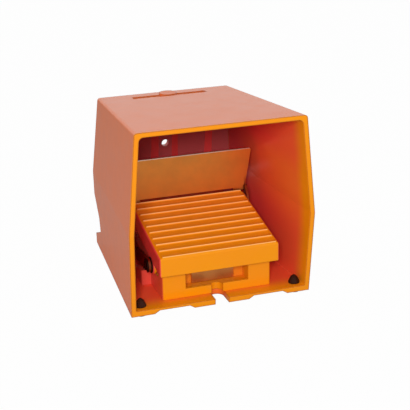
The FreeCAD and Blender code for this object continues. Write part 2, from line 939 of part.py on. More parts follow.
def make_pedal():
    pedal = pedal_block().fuse(pedal_ridges())
    pedal = pedal.cut(pedal_hollow())
    boss = post(striker_boss_radius, 0, pusher_depth, striker_boss_bottom, striker_thread_top())
    rib_reach = pedal_width / 2 - pedal_wall / 2
    cross_rib = block(-rib_reach, rib_reach, pusher_depth - pedal_wall / 2, pusher_depth + pedal_wall / 2,
                      striker_boss_bottom - 2, striker_thread_top())
    nut_room = post(striker_boss_radius - 1, 0, pusher_depth, 0, striker_boss_bottom)
    pedal = pedal.fuse([boss, cross_rib.cut(nut_room)])
    for ear in on_both_sides(pedal_ear()):
        pedal = pedal.fuse(ear)
    half = pedal_width / 2 + 1
    pedal = pedal.cut(shaft(bush_radius() + running_clearance, -half, half, pin_depth, pin_height))
    pedal = pedal.cut(post(striker_radius, 0, pusher_depth, 0, striker_thread_top() - 1))
    return pedal.removeSplitter()


def make_pedal_bushes():
    inner = pedal_width / 2 - pedal_wall
    outer = pedal_width / 2
    ring = shaft(bush_radius(), inner, outer, pin_depth, pin_height)
    bore = shaft(pin_radius + running_clearance, inner, outer, pin_depth, pin_height)
    return on_both_sides(ring.cut(bore))


def make_striker_screw():
    tip_top = pusher_head_top + seat_gap
    rounded = 1.2
    outline = [
        vec(0, 0, tip_top),
        vec(striker_radius - rounded, 0, tip_top),
        vec(striker_radius - running_clearance, 0, tip_top + rounded),
        vec(striker_radius - running_clearance, 0, striker_thread_top() - 2),
        vec(0, 0, striker_thread_top() - 2),
    ]
    screw = Part.Face(polygon(outline)).revolve(vec(0, 0, 0), vec(0, 0, 1), 360)
    screw.translate(vec(0, pusher_depth, 0))
    return screw


def make_striker_nut():
    nut = hexagon(striker_nut_flats, 0, pusher_depth, striker_boss_bottom - striker_nut_height,
                  striker_boss_bottom)
    return nut.cut(post(striker_radius, 0, pusher_depth, 0, striker_boss_bottom))


def flap_plate():
    """The flap itself, narrowed at its foot so that it drops in behind the pedal."""
    outline = [
        (flap_bottom_width / 2, flap_bottom),
        (flap_shoulder_width / 2, flap_shoulder_height),
        (flap_top_width / 2, flap_top),
    ]
    outline += [(-x, z) for x, z in reversed(outline)]
    plate = front_prism(outline, flap_front, flap_rear)

    def is_top_corner(edge):
        return runs_along(edge, vec(0, 1, 0)) and edge.CenterOfMass.z > flap_top - 1

    return round_edges(plate, flap_corner_radius, is_top_corner)


def flap_arm():
    """One side arm: low beside the pedal, then rising behind it to the flap's back."""
    rear = flap_rear + flap_thickness
    low_rear = arm_low_depth + arm_low_length
    outline = [
        (pin_depth, pin_height + arm_end_radius),
        (low_rear - 3.0, pin_height + arm_end_radius - 3.0),
        (low_rear + 8.0, pin_height + arm_end_radius + 2.0),
        (flap_front - 5.0, arm_shoulder_height - 6.0),
        (flap_front - 1.0, arm_shoulder_height),
        (flap_rear, arm_shoulder_height),
        (flap_rear, arm_flange_top),
        (rear, arm_flange_top),
        (rear, arm_flange_bottom),
        (low_rear + 12.0, arm_low_height + 8.0),
        (low_rear, arm_low_height),
        (arm_low_depth, arm_low_height),
        (pin_depth, pin_height - arm_end_radius),
    ]
    strip = side_prism(outline, arm_inner_x, arm_outer_x)

    def is_rounded_corner(edge):
        middle = edge.CenterOfMass
        return runs_along(edge, vec(1, 0, 0)) and pin_depth + 1 < middle.y < flap_front - 3

    strip = round_edges(strip, arm_corner_radius, is_rounded_corner)
    flange = block(arm_outer_x - arm_flange_width, arm_outer_x, flap_rear, rear,
                   arm_flange_bottom, arm_flange_top)
    strip = strip.fuse(flange).removeSplitter()

    def is_bend(edge):
        middle = edge.CenterOfMass
        return runs_along(edge, vec(0, 0, 1)) and middle.x > arm_outer_x - 0.1 and middle.y > rear - 0.1

    strip = round_edges(strip, arm_bend_radius, is_bend)
    strip = strip.fuse(shaft(arm_end_radius, arm_inner_x, arm_outer_x, pin_depth, pin_height))
    hole = shaft(pin_radius + running_clearance, arm_inner_x - 1, arm_outer_x + 1, pin_depth, pin_height)
    half = spring_wire_radius + running_clearance
    notch_top = pin_height - coil_radius + half
    notch = block(arm_inner_x - 1, arm_outer_x + 1, hook_depth - half, hook_depth + half,
                  notch_top - 2 * coil_radius, notch_top)
    return strip.cut([hole, notch])


def make_toe_flap():
    flap = flap_plate()
    for arm in on_both_sides(flap_arm()):
        flap = flap.fuse(arm)
    return flap.removeSplitter()


def make_pusher():
    shoulder = crossbar_bottom + crossbar_height
    neck_bottom = crossbar_bottom - 2.2
    head = post(pusher_head_radius, 0, pusher_depth, pusher_head_bottom, pusher_head_top)
    rod = post(pusher_radius, 0, pusher_depth, shoulder, pusher_head_bottom)
    neck = post(pusher_neck_radius, 0, pusher_depth, neck_bottom, shoulder)
    groove_top = crossbar_bottom - 0.1
    groove = tube(pusher_neck_radius + 1, pusher_neck_radius - clip_groove_depth, 0, pusher_depth,
                  groove_top - clip_thickness, groove_top)
    return head.fuse([rod, neck]).cut(groove).removeSplitter()


def make_pusher_clip():
    top = crossbar_bottom - 0.1 - running_clearance
    bottom = top - clip_thickness + 2 * running_clearance
    inner = pusher_neck_radius - clip_groove_depth + running_clearance
    ring = tube(pusher_neck_radius + 1.8, inner, 0, pusher_depth, bottom, top)
    mouth = block(-inner * 0.8, inner * 0.8, pusher_depth - 2 * pusher_radius, pusher_depth, bottom, top)
    return ring.cut(mouth)


def make_crossbar():
    reach = block_x + block_width / 2
    half = crossbar_width / 2
    bar = block(-reach, reach, pusher_depth - half, pusher_depth + half, crossbar_bottom,
                crossbar_bottom + crossbar_height)
    hub = post(pusher_radius + 2.2, 0, pusher_depth, crossbar_bottom, crossbar_bottom + crossbar_height)
    hole = post(pusher_neck_radius + running_clearance, 0, pusher_depth, 0, housing_height)
    return bar.fuse(hub).cut(hole).removeSplitter()


def make_guide_bush():
    return tube(guide_bush_radius, pusher_radius + running_clearance, 0, pusher_depth,
                deck_height - base_wall, guide_boss_top)


def make_pusher_seal():
    return tube(seal_outer_radius, pusher_radius + seat_gap, 0, pusher_depth,
                guide_boss_top, guide_boss_top + seal_thickness)


def make_return_spring():
    """Half turns of round wire, joined end to end."""
    low = deck_height + seat_gap + spring_wire_radius
    high = pusher_head_bottom - seat_gap - spring_wire_radius
    pitch = (high - low) / spring_turns
    helix = Part.makeHelix(pitch, pitch / 2, spring_radius)
    section = Part.Wire(Part.makeCircle(spring_wire_radius, vec(spring_radius, 0, 0), vec(0, 1, 0)))
    half_turn = Part.Wire(helix.Edges).makePipeShell([section], True, True)
    pieces = []
    for step in range(int(2 * spring_turns)):
        piece = half_turn.copy()
        piece.rotate(vec(0, 0, 0), vec(0, 0, 1), 180 * step)
        piece.translate(vec(0, pusher_depth, low + step * pitch / 2))
        pieces.append(piece)
    return pieces[0].fuse(pieces[1:])


def wire_run(points):
    """Round wire through a list of points."""
    pieces = []
    for start, end in zip(points, points[1:]):
        step = end - start
        pieces.append(Part.makeCylinder(spring_wire_radius, step.Length, start, step))
        pieces.append(Part.makeSphere(spring_wire_radius, end))
    return pieces[0].fuse(pieces[1:])


def coil_length():
    return coil_pitch * coil_turns


def make_trigger_spring():
    """A coil around the hinge pin with its fixed leg on the deck."""
    length = coil_length()
    helix = Part.makeHelix(coil_pitch, length, coil_radius)
    section = Part.Wire(Part.makeCircle(spring_wire_radius, vec(coil_radius, 0, 0), vec(0, 1, 0)))
    coil = Part.Wire(helix.Edges).makePipeShell([section], True, True)
    deck_leg = Part.Face(section).extrude(vec(0, -spring_leg_length, 0))
    spring = coil.fuse(deck_leg)
    spring.rotate(vec(0, 0, 0), vec(0, 1, 0), 90)
    spring.rotate(vec(0, 0, 0), vec(1, 0, 0), 180)
    spring.translate(vec(coil_inner_x, pin_depth, pin_height))
    return spring


def make_trigger_spring_end():
    """The coil's moving leg, bent outwards into the notch under the flap arm."""
    bottom = pin_height - coil_radius
    outer_x = coil_inner_x + coil_length()
    return wire_run([
        vec(outer_x, pin_depth + hook_start_gap, bottom),
        vec(outer_x, hook_depth, bottom),
        vec(arm_outer_x + spring_hook_overhang, hook_depth, bottom),
    ])


def make_carrier():
    half = carrier_width / 2
    rear = block_front + block_length + carrier_rear_margin
    front = block_front - carrier_thickness
    return block(-half, half, front, rear, carrier_bottom, block_bottom)


def make_contact_block(side):
    """A closed snap-action block with stepped terminal ends and a plunger bore."""
    x = side * block_x
    half = block_width / 2
    rear = block_front + block_length
    step = terminal_step
    outline = [
        (block_front, block_bottom),
        (block_front, terminal_top),
        (block_front + step, terminal_top),
        (block_front + step, block_top),
        (rear - step, block_top),
        (rear - step, terminal_top),
        (rear, terminal_top),
        (rear, block_bottom),
    ]
    body = side_prism(outline, x - half, x + half)
    plunger_bottom = crossbar_bottom - seat_gap - plunger_length
    bore = post(plunger_radius + running_clearance, x, pusher_depth,
                plunger_bottom - plunger_travel - seat_gap, block_top + 1)
    return body.cut(bore)


def make_terminal_screws():
    """Two clamp screws at each end of each contact block."""
    screws = []
    rows = (block_front + terminal_setback, block_front + block_length - terminal_setback)
    for side in (-1, 1):
        for offset in (-block_width / 4, block_width / 4):
            for depth in rows:
                x = side * block_x + offset
                head = post(terminal_radius, x, depth, terminal_top, terminal_top + terminal_head)
                slot = block(x - 0.4, x + 0.4, depth - terminal_radius, depth + terminal_radius,
                             terminal_top + terminal_head / 2, terminal_top + terminal_head)
                screws.append(head.cut(slot))
    return screws


def make_plunger(side):
    top = crossbar_bottom - seat_gap
    return post(plunger_radius, side * block_x, pusher_depth, top - plunger_length, top)


def make_earth_screw():
    head_radius = 2 * earth_screw_radius
    washer = post(head_radius + 0.8, earth_x, earth_depth, earth_boss_bottom - 1, earth_boss_bottom)
    head = post(head_radius, earth_x, earth_depth, earth_boss_bottom - 3.4, earth_boss_bottom - 1)
    slot = block(earth_x - 0.5, earth_x + 0.5, earth_depth - head_radius, earth_depth + head_radius,
                 earth_boss_bottom - 3.4, earth_boss_bottom - 2.4)
    shank = post(earth_screw_radius - running_clearance, earth_x, earth_depth, earth_boss_bottom,
                 earth_boss_bottom + 4.5)
    return head.cut(slot).fuse([washer, shank]).removeSplitter()


def make_blanking_plug():
    start = base_rear + plug_washer_thickness
    head = drill(plug_head_radius, -entry_x, entry_height, start, start + plug_head_thickness)
    head = head.makeChamfer(0.8, [edge for edge in head.Edges if edge.CenterOfMass.y > start + 1])
    shank = drill(entry_radius - running_clearance, -entry_x, entry_height, cavity_rear + 1, start)
    bore = drill(entry_radius - 2.2, -entry_x, entry_height, cavity_rear, start - 1)
    slot = block(-entry_x - 9.0, -entry_x + 9.0, start + plug_head_thickness - 1.6,
                 start + plug_head_thickness + 1, entry_height - 1.0, entry_height + 1.0)
    return head.fuse(shank).cut([bore, slot]).removeSplitter()


def make_plug_washer():
    end = base_rear + plug_washer_thickness
    ring = drill(plug_head_radius - 0.5, -entry_x, entry_height, base_rear, end)
    return ring.cut(drill(entry_radius + running_clearance, -entry_x, entry_height, base_rear, end))


def pedal_underside(depth):
    return pedal_nominal(depth) - ridge_rise - pedal_top_wall


def pressed_underside(depth):
    """Height of the pedal's underside over a depth when the pedal is pressed right down."""
    turned_depth, turned_height = turned_about_pin(depth, pedal_underside(depth), pedal_travel)
    slope = math.tan(math.atan(pedal_slope) - math.radians(pedal_travel))
    return turned_height - slope * (turned_depth - depth)


def make_rest_buffers():
    """Rubber studs before the pin that the sprung pedal rests on."""
    top = pedal_underside(rest_buffer_depth - rest_buffer_radius) - seat_gap
    return on_both_sides(post(rest_buffer_radius, buffer_x, rest_buffer_depth, deck_height, top))


def make_end_buffers():
    """Rubber studs behind the pin that stop the pedal at the end of its travel."""
    top = pressed_underside(end_buffer_depth + end_buffer_radius) - end_buffer_gap
    return on_both_sides(post(end_buffer_radius, buffer_x, end_buffer_depth, deck_height, top))


def save(name, solids):
    """Write one node, moved so that the origin is under the middle of the hood."""
    if not isinstance(solids, list):
        solids = [solids]
    shape = Part.makeCompound(solids) if len(solids) > 1 else solids[0].copy()
    shape.translate(vec(0, -hood_depth / 2, foot_standout - rail_bottom))
    if not shape.isValid():
        print("not valid:", name)
    print(f"{name:24s} solids {len(shape.Solids):2d}  volume {shape.Volume / 1000:8.2f} cm3")
    shape.exportStep(os.path.join("parts", name + ".step"))


def main():
    os.makedirs("parts", exist_ok=True)
    save("hood", make_hood())
    foot_names = ("foot_front_left", "foot_front_right", "foot_rear_left", "foot_rear_right")
    for name, (x, depth) in zip(foot_names, foot_places()):
        save(name, make_rubber_foot(x, depth))
    save("switch_base", make_base())
    save("base_screws", make_base_screws())
    save("base_cover", make_cover())
    save("cover_gasket", make_gasket())
    save("cover_screws", make_cover_screws())
    save("hinge_pin", make_hinge_pin())
    save("pin_clips", make_pin_clips())
    save("pin_spacers", make_spacers())
    save("pin_keeper", make_pin_keeper())
    save("pin_keeper_screws", make_keeper_screws())
    save("rest_buffers", make_rest_buffers())
    save("end_buffers", make_end_buffers())
    save("guide_bush", make_guide_bush())
    save("pusher_seal", make_pusher_seal())
    save("return_spring", make_return_spring())
    save("trigger_springs", on_both_sides(make_trigger_spring()))
    save("trigger_spring_ends", on_both_sides(make_trigger_spring_end()))
    save("block_carrier", make_carrier())
    save("terminal_screws", make_terminal_screws())
    save("earth_screw", make_earth_screw())
    save("blanking_plug", make_blanking_plug())
    save("plug_washer", make_plug_washer())
    for side, label in ((-1, "left"), (1, "right")):
        save("contact_block_" + label, make_contact_block(side))
        save("contact_plunger_" + label, make_plunger(side))
    save("pedal", make_pedal())
    save("pedal_bushes", make_pedal_bushes())
    save("striker_screw", make_striker_screw())
    save("striker_nut", make_striker_nut())
    save("toe_flap", make_toe_flap())
    save("pusher", make_pusher())
    save("pusher_clip", make_pusher_clip())
    save("crossbar", make_crossbar())


main()
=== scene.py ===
import json
import math

import bpy
import numpy as np
from mathutils import Matrix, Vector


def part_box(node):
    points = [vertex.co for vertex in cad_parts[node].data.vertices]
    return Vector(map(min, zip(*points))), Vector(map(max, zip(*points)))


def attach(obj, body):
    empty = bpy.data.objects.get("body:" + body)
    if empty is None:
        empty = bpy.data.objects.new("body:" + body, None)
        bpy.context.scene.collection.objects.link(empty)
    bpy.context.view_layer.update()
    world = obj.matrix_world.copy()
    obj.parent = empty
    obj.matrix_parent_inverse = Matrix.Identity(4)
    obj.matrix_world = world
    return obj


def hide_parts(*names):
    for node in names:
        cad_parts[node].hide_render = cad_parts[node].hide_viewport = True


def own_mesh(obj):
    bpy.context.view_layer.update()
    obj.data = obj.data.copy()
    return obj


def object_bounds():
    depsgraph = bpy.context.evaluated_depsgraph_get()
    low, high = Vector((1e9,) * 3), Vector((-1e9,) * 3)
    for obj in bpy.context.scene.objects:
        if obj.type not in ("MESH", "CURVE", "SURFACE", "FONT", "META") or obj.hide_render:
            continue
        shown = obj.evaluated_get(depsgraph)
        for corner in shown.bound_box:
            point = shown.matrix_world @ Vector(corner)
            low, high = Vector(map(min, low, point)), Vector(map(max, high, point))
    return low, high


bl_info = {
    "name": "Industrial foot switch",
    "version": (1, 0, 0),
    "blender": (4, 5, 0),
    "location": "View3D > Sidebar > Foot switch",
    "description": "Finishes and dresses the frame of an industrial foot switch",
    "category": "Object",
}

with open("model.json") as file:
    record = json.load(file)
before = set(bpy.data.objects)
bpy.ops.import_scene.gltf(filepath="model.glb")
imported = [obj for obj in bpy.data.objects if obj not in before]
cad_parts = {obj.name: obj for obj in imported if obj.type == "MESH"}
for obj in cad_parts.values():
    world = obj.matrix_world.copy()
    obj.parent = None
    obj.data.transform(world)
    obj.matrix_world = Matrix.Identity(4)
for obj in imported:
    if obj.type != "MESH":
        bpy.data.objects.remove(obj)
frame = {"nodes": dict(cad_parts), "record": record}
CAD_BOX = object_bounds()
MM = 0.001
RIM_Y = CAD_BOX[0][1]              # the hood's rim is the front of the whole switch
CREASE = 76.5                      # how high above the ground the hood's walls fold, in mm
RIM_LEAN = 0.116                   # below the crease the rim leans back by this share of the drop
ACROSS, BACK, UP = (1, 0, 0), (0, 1, 0), (0, 0, 1)
COLOUR_MIX = {"data_type": "RGBA", "output": 2}
SMOOTH = {"interpolation_type": "SMOOTHSTEP"}

# The hood's walls at half their thickness: a direction (across, back, up) and how far out along it, in mm.
HOOD_WALLS = (
    ((1, 0.062, 0), 77.6),                             # the sides close in towards the rear
    ((1, 0.062, 0.0894), 77.6 + 0.0894 * CREASE),      # above the crease they also lean in
    ((0, 0.0742, 1), 159.7),                           # the roof falls to the rear
    ((0, 0, -1), -7.05),                               # the floor
    (BACK, 177.8),                                     # the rear wall
    ((0, 1, 0.152), 177.8 + 0.152 * CREASE),           # above the crease it leans forward
)


def linear(code):
    """An sRGB hex colour as linear red, green and blue."""
    parts = [int(code[i:i + 2], 16) / 255 for i in (1, 3, 5)]
    return [c / 12.92 if c <= 0.04045 else ((c + 0.055) / 1.055) ** 2.4 for c in parts]


def rgba(colour):
    """A colour with nothing see-through."""
    return (*colour, 1.0)


def colour_property(name, description, code):
    return bpy.props.FloatVectorProperty(
        name=name, description=description, default=linear(code), subtype="COLOR", size=3, min=0, max=1)


def length_property(name, description, millimetres):
    return bpy.props.FloatProperty(
        name=name, description=description, default=millimetres * MM, unit="LENGTH", min=0, precision=5)


class FOOTSWITCH_PG_finish(bpy.types.PropertyGroup):
    """Colours and gloss of the paint, plating and rubber, and of the painted shade and highlights."""

    enamel: colour_property("Enamel", "Orange enamel on the castings", "#EE9206")
    # Painted shade: red that stands for shade and for reddened light bounced between the orange walls.
    inner_red_shade: colour_property("Undercoat", "Red coat that shows where the spray is thin", "#F3343F")
    # Painted shade: the darker red for the shaded rear wall inside the hood.
    rear_red_shade: colour_property("Undercoat at the rear", "The same coat on the rear wall", "#BA4D57")
    # Painted highlight: the bright lines on the noses of the pedal's ridges.
    nose_glint_colour: colour_property("Polished noses", "Enamel rubbed bright by shoes", "#FFD08A")
    # Painted shade: the darker line along the castings' edges and creases.
    edge: colour_property("Thin edges", "Enamel where it draws back from sharp edges", "#B4501C")
    enamel_roughness: bpy.props.FloatProperty(
        name="Enamel roughness", description="How matt the enamel is", default=0.24, min=0, max=1,
        subtype="FACTOR")
    chromate: colour_property("Chromate", "Passivated zinc on the toe flap", "#F69F48")
    chromate_stain: colour_property("Chromate stain", "Browner clouds in the passivation", "#DE9648")
    # Painted shade: the darker colour on the flap's arms, which lie in shade beside the pedal.
    arm_shade_colour: colour_property("Grime", "Dirt on the toe flap's arms", "#8E4A34")
    # Painted highlight on the flap's sheared top edge, where the zinc is also bare.
    bare_zinc_and_highlight: colour_property("Bare zinc", "The toe flap's sheared top edge", "#F4E6D2")
    zinc: colour_property("Zinc", "Clear zinc on screws and the pusher", "#C4C6C8")
    # The brown in this near-black is painted reflection of the orange hood on the rubber.
    rubber: colour_property("Rubber", "Feet, buffers and seals", "#34190F")


class FOOTSWITCH_PG_windings(bpy.types.PropertyGroup):
    """Wire and turns of the springs and of the cable entry's thread."""

    wire: length_property("Spring wire", "Thickness of the springs' wire", 1.6)
    return_turns: bpy.props.FloatProperty(
        name="Return spring turns", description="Turns of the spring under the pusher", default=4.0, min=1)
    trigger_turns: bpy.props.FloatProperty(
        name="Torsion spring turns", description="Turns of each spring beside the pedal", default=3.5, min=1)
    trigger_pitch: length_property("Torsion spring pitch", "How far the wire moves outwards in a turn", 2.0)
    thread_pitch: length_property("Thread pitch", "Distance from crest to crest in the cable entry", 1.5)
    thread_height: length_property("Thread height", "How far the crests stand out of the bore", 0.35)


class FOOTSWITCH_PG_studio(bpy.types.PropertyGroup):
    """The light on the foot switch."""

    key_power: bpy.props.FloatProperty(
        name="Key light", description="Power of the lamp in front", default=16.4, min=0, unit="POWER")
    daylight: bpy.props.FloatProperty(
        name="Daylight", description="Strength of the light all round", default=0.48, min=0, max=1)


def add_node(tree, kind, inputs=None, output=0, **settings):
    """Adds one node, sets its fields, gives each input a value or a link, and returns an output."""
    node = tree.nodes.new("ShaderNode" + kind)
    for field, value in settings.items():
        setattr(node, field, value)
    for name, value in (inputs or {}).items():
        if isinstance(value, bpy.types.NodeSocket):
            tree.links.new(value, node.inputs[name])
        else:
            node.inputs[name].default_value = value
    return node.outputs[output] if node.outputs else None


def new_material(name):
    """An empty material, its node tree and its Object coordinates."""
    material = bpy.data.materials.new(name)
    material.use_nodes = True
    tree = material.node_tree
    tree.nodes.clear()
    return material, tree, add_node(tree, "TexCoord", output="Object")


def finished(material, surface):
    """Gives a material its shader, with these values of the surface."""
    shader = add_node(material.node_tree, "BsdfPrincipled", surface)
    add_node(material.node_tree, "OutputMaterial", {"Surface": shader})
    return material


def clouds(tree, place, size_mm, low, high, detail=2.0, roughness=0.5):
    """Wanders from low to high in soft patches about size_mm across."""
    patches = add_node(tree, "TexNoise", {"Vector": place, "Scale": 1 / (size_mm * MM),
                                          "Detail": detail, "Roughness": roughness})
    return add_node(tree, "MapRange", {"Value": patches, "From Min": 0.3, "From Max": 0.7,
                                       "To Min": low, "To Max": high})


def corner_of(tree, place):
    """A point's half width, distance behind the hood's rim and height above the ground.

    The width loses its sign, so that what is made for one side is on both.
    """
    moved = add_node(tree, "VectorMath", {0: place, 1: (0, -RIM_Y, 0)}, operation="ADD")
    return add_node(tree, "VectorMath", {0: moved}, operation="ABSOLUTE")


def fade(tree, corner, direction, start, end, low=0.0, high=1.0):
    """Goes smoothly from low to high while the reach along a direction goes from start to end, in mm."""
    reach = add_node(tree, "VectorMath", {0: corner, 1: direction}, output="Value", operation="DOT_PRODUCT")
    return add_node(tree, "MapRange", {"Value": reach, "From Min": start * MM, "From Max": end * MM,
                                       "To Min": low, "To Max": high}, **SMOOTH)


def behind_rim(tree, corner, start, end, high):
    """Goes from 0 to high from start to end behind the leaning rim, in mm."""
    above = fade(tree, corner, BACK, start, end, high=high)
    at_floor = RIM_LEAN * CREASE
    below = fade(tree, corner, (0, 1, RIM_LEAN), start + at_floor, end + at_floor, high=high)
    return add_node(tree, "Math", {0: above, 1: below}, operation="MINIMUM")


def hood_shade_share(tree, corner):
    """Painted shade on the hood: how far the red shows, 0 on the rim, 0.44 outside and up to 0.94 deep
    inside.

    The red stands for shade and for reddened light bounced between the orange walls. The outer
    faces behind the rim are shaded copies of the lamp-lit rim. The middle of the side walls, where
    the lamp lights them, gets 0.2 less: painted light. The floor's front edge keeps the rim's orange,
    14 mm behind it.
    """
    inside = 1.0
    for direction, limit in HOOD_WALLS:
        inside = fade(tree, corner, direction, limit + 0.2, limit - 0.2, high=inside)
    # Painted shade: the red grows from the rim towards the rear, for shade and reddened bounced light.
    deep = fade(tree, corner, BACK, 20, 120, low=behind_rim(tree, corner, 1, 25, 0.7), high=0.94)
    # Painted light: 0.2 less red in the middle of the side walls, where the lamp lights them.
    lighting = 0.2
    for direction, start, end in ((BACK, 155, 110), (ACROSS, 60, 66), (UP, 126.5, 101.5), (UP, 46.5, 86.5)):
        lighting = fade(tree, corner, direction, start, end, high=lighting)
    deep = add_node(tree, "Math", {0: deep, 1: lighting}, operation="SUBTRACT")
    # Painted shade: the outer faces behind the rim take 0.44 of the red; the floor's front edge keeps the
    # rim's orange.
    outer = behind_rim(tree, corner, 0.8, 2.5, 0.44)
    at_floor = fade(tree, corner, UP, 9.5, 8, high=fade(tree, corner, ACROSS, 74, 73))
    outer = add_node(tree, "MapRange", {"Value": at_floor, "To Min": outer,
                                        "To Max": fade(tree, corner, BACK, 14.8, 16.5, high=outer)})
    return add_node(tree, "MapRange", {"Value": inside, "To Min": outer, "To Max": deep})


def pedal_shade_share(tree, corner):
    """Painted shade on the pedal: how far the red shows, little to its rear and most on its side faces."""
    towards_rear = fade(tree, corner, BACK, 10, 110, high=0.16)
    return fade(tree, corner, ACROSS, 51.3, 52.1, low=towards_rear, high=0.9)


def base_shade_share(tree, corner):
    """Painted shade on the switch base: how far the red shows, on its sides and under the pedal, less at the
    rear.
    """
    sides = fade(tree, corner, ACROSS, 47.5, 48.2, high=0.8)
    deep = fade(tree, corner, BACK, 25, 60, low=sides, high=1.0)
    most = fade(tree, corner, BACK, 120, 176, low=0.85, high=0.2)
    return add_node(tree, "MapRange", {"Value": deep, "To Max": most})


def pedal_nose_highlights(tree, corner):
    """Painted highlight: 1 on the rounded nose of each ridge, the first half millimetre of every pitch of
    depth.
    """
    first_nose, pitch = 11.7 * MM, 9.7 * MM
    on_top = fade(tree, corner, (0, -0.2016, 1), 47.5, 48, high=fade(tree, corner, ACROSS, 50.6, 49.6))
    depth = add_node(tree, "SeparateXYZ", {"Vector": corner}, output="Y")
    past_first = add_node(tree, "Math", {0: depth, 1: first_nose}, operation="SUBTRACT")
    behind_nose = add_node(tree, "Math", {0: past_first, 1: pitch}, operation="MODULO")
    return add_node(tree, "MapRange", {"Value": behind_nose, "From Min": 0.75 * MM, "From Max": 0.4 * MM,
                                       "To Max": on_top}, **SMOOTH)


def flap_arm_shade(tree, corner):
    """Painted shade: nearly 1 on the flap's arms, which lie in shade beside the pedal."""
    return fade(tree, corner, UP, 83.5, 69.5, high=fade(tree, corner, ACROSS, 53, 53.8, high=0.9))


def flap_top_highlight(tree, corner):
    """Painted highlight: 1 along the flap's sheared top edge, where the zinc is also bare."""
    return fade(tree, corner, UP, 106.1, 106.7)


def enamel_on_casting(name, finish, edge_mm, red_shade_share, shade=0.0, edge_shade_share=0.0, highlighted=None):
    """Gloss orange enamel on an aluminium casting, with painted shade and highlights.

    The coat is smooth, with slow clouds of thickness about 30 mm across. It rounds
    the edges over edge_mm. Painted shade: a darker line along edges and creases, as much as
    edge_shade_share, and a red, as much as red_shade_share says, for shade and reddened bounced
    light; deep at the rear it turns to the darker rear red, most on faces that look to the front
    or the rear, and at least by shade. Painted highlight: bright noses where highlighted says.
    """
    material, tree, place = new_material(name)
    corner = corner_of(tree, place)
    # Painted shade: how far the red shows, with random clouds of thicker and thinner coat.
    share = add_node(tree, "Math", {0: red_shade_share(tree, corner), 1: clouds(tree, place, 30, 0.0, 0.06)},
                     operation="MAXIMUM")
    facing = add_node(tree, "NewGeometry", output="True Normal")
    rounded = add_node(tree, "Bevel", {"Radius": edge_mm * MM}, samples=8)
    turned = add_node(tree, "VectorMath", {0: rounded, 1: facing}, output="Value", operation="DOT_PRODUCT")
    # Painted shade: a darker line where the rounded normal turns from the face, on edges and creases.
    edge_darkening = add_node(tree, "MapRange", {"Value": turned, "From Min": 0.97, "From Max": 0.8,
                                          "To Max": edge_shade_share}, **SMOOTH)
    # Painted shade: at the rear, faces that do not look to the sides take the darker rear red.
    sideways = add_node(tree, "VectorMath", {0: facing}, operation="ABSOLUTE")
    sideways = add_node(tree, "SeparateXYZ", {"Vector": sideways}, output="X")
    end_face_shade = add_node(tree, "MapRange", {"Value": sideways, "From Min": 0.3, "From Max": 0.1,
                                          "To Min": 0.35, "To Max": 1.0}, **SMOOTH)
    rear = fade(tree, corner, BACK, 105, 165, high=end_face_shade)
    rear = add_node(tree, "MapRange", {"Value": share, "From Min": 0.45, "From Max": 0.9,
                                       "To Max": rear}, **SMOOTH)
    rear = add_node(tree, "Math", {0: rear, 1: shade}, operation="MAXIMUM")
    under = add_node(tree, "Mix", {0: rear, 6: rgba(finish.inner_red_shade),
                                   7: rgba(finish.rear_red_shade)}, **COLOUR_MIX)
    coat = add_node(tree, "Mix", {0: share, 6: rgba(finish.enamel), 7: under}, **COLOUR_MIX)
    coat = add_node(tree, "Mix", {0: edge_darkening, 6: coat, 7: rgba(finish.edge)}, **COLOUR_MIX)
    matt = clouds(tree, place, 14, finish.enamel_roughness - 0.02, finish.enamel_roughness + 0.03)
    # Painted highlight: lighter, glossier enamel on the pedal's ridge noses.
    if highlighted:
        shine = highlighted(tree, corner)
        bright = add_node(tree, "Math", {0: shine, 1: 0.6}, operation="MULTIPLY")
        coat = add_node(tree, "Mix", {0: bright, 6: coat, 7: rgba(finish.nose_glint_colour)}, **COLOUR_MIX)
        matt = add_node(tree, "Math", {0: shine, 1: -0.1, 2: matt}, operation="MULTIPLY_ADD")
    return finished(material, {"Base Color": coat, "Roughness": matt, "Normal": rounded,
                               "Specular IOR Level": 0.24})


def chromated_sheet(name, colour, stain, marks=()):
    """Cold-rolled steel sheet, zinc plated and passivated.

    The passivation is cloudy, from straw to brown, about 18 mm across, and the
    rolling lines under it run across the sheet about 0.6 mm apart. Marks are
    functions that say where, each with the colour that shows there.
    """
    material, tree, place = new_material(name)
    corner = corner_of(tree, place)
    # Besides the clouds, the sheet turns steadily browner towards the left.
    width = add_node(tree, "SeparateXYZ", {"Vector": place}, output="X")
    to_left = add_node(tree, "MapRange", {"Value": width, "From Min": -55 * MM, "From Max": 55 * MM,
                                          "To Min": 0.6, "To Max": -0.2})
    cloud = clouds(tree, place, 18, -0.03, 0.63, 3, 0.6)
    brown = add_node(tree, "Math", {0: cloud, 1: to_left}, operation="ADD")
    coat = add_node(tree, "Mix", {0: brown, 6: rgba(colour), 7: rgba(stain)}, **COLOUR_MIX)
    for where, mark in marks:
        coat = add_node(tree, "Mix", {0: where(tree, corner), 6: coat, 7: rgba(mark)}, **COLOUR_MIX)
    along = add_node(tree, "Mapping", {"Vector": place, "Scale": (0.04, 1, 1)})
    lines = add_node(tree, "TexNoise", {"Vector": along, "Scale": 1 / (0.6 * MM)})
    rounded = add_node(tree, "Bevel", {"Radius": 0.4 * MM}, samples=4)
    rolled = add_node(tree, "Bump", {"Height": lines, "Distance": 0.008 * MM, "Strength": 0.4,
                                     "Normal": rounded})
    return finished(material, {"Base Color": coat, "Metallic": 1.0, "Normal": rolled,
                               "Roughness": clouds(tree, place, 6, 0.36, 0.44, 3)})


